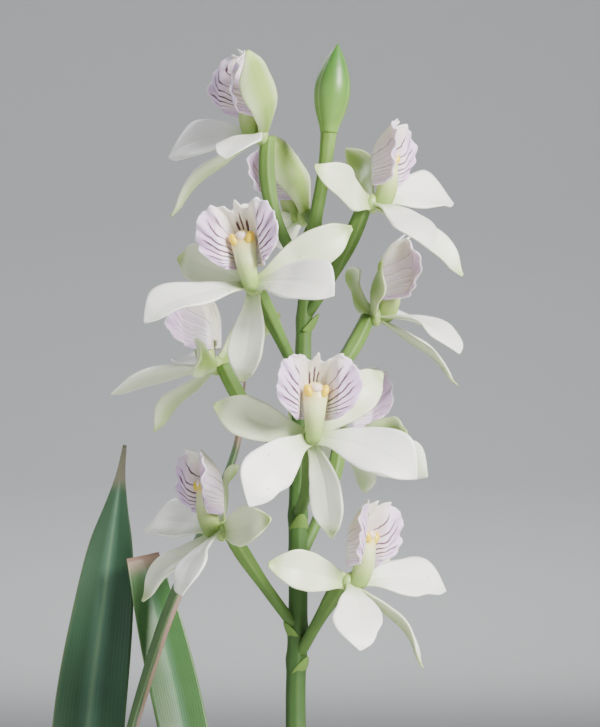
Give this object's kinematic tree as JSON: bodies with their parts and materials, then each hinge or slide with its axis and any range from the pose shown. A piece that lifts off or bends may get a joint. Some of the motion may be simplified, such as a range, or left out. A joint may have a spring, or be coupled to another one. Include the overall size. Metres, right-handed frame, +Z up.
{
  "type": "potted prosthechea radiata",
  "caption": "Orchid with a tall spike of cream flowers, each with a striped lilac lip held uppermost, strap leaves and ribbed bulbs, growing in bark in a plain clay pot.",
  "frame": {"origin": "centre of the pot's base, on the surface that it stands on", "axes": "+Z up along the flower spike; -Y the side that the flower spike shows in the picture"},
  "size_m": [0.179, 0.196, 0.3789],
  "materials": {
    "tepal_wax": "waxy petal",
    "lip_lilac": "thin petal with dark veins",
    "column_green": "waxy",
    "stem_green": "green stem, faintly ridged",
    "bud_green": "waxy bud",
    "sheath_tan": "dry papery sheath",
    "bulb_green": "green stem skin, ribbed",
    "leaf_green": "leathery leaf",
    "rhizome_brown": "dry root and creeping stem",
    "terracotta": "unglazed clay",
    "bark": "coarse bark"
  },
  "bodies": {
    "root": {"bloom_01_tepals": "tepal_wax", "bloom_01_lip": "lip_lilac", "bloom_01_column": "column_green", "bloom_02_tepals": "tepal_wax", "bloom_02_lip": "lip_lilac", "bloom_02_column": "column_green", "bloom_03_tepals": "tepal_wax", "bloom_03_lip": "lip_lilac", "bloom_03_column": "column_green", "bloom_04_tepals": "tepal_wax", "bloom_04_lip": "lip_lilac", "bloom_04_column": "column_green", "bloom_05_tepals": "tepal_wax", "bloom_05_lip": "lip_lilac", "bloom_05_column": "column_green", "bloom_06_tepals": "tepal_wax", "bloom_06_lip": "lip_lilac", "bloom_06_column": "column_green", "bloom_07_tepals": "tepal_wax", "bloom_07_lip": "lip_lilac", "bloom_07_column": "column_green", "bloom_08_tepals": "tepal_wax", "bloom_08_lip": "lip_lilac", "bloom_08_column": "column_green", "bloom_09_tepals": "tepal_wax", "bloom_09_lip": "lip_lilac", "bloom_09_column": "column_green", "bloom_10_tepals": "tepal_wax", "bloom_10_lip": "lip_lilac", "bloom_10_column": "column_green", "flower_spike": "stem_green", "bud": "bud_green", "spathe": "sheath_tan", "pseudobulb_1": "bulb_green", "pseudobulb_2": "bulb_green", "pseudobulb_3": "bulb_green", "pseudobulb_4": "bulb_green", "leaf_1": "leaf_green", "leaf_2": "leaf_green", "leaf_3": "leaf_green", "leaf_4": "leaf_green", "leaf_5": "leaf_green", "leaf_6": "leaf_green", "leaf_7": "leaf_green", "leaf_8": "leaf_green", "rhizome": "rhizome_brown", "pot": "terracotta", "potting_mix": "bark"}
  },
  "joints": []
}
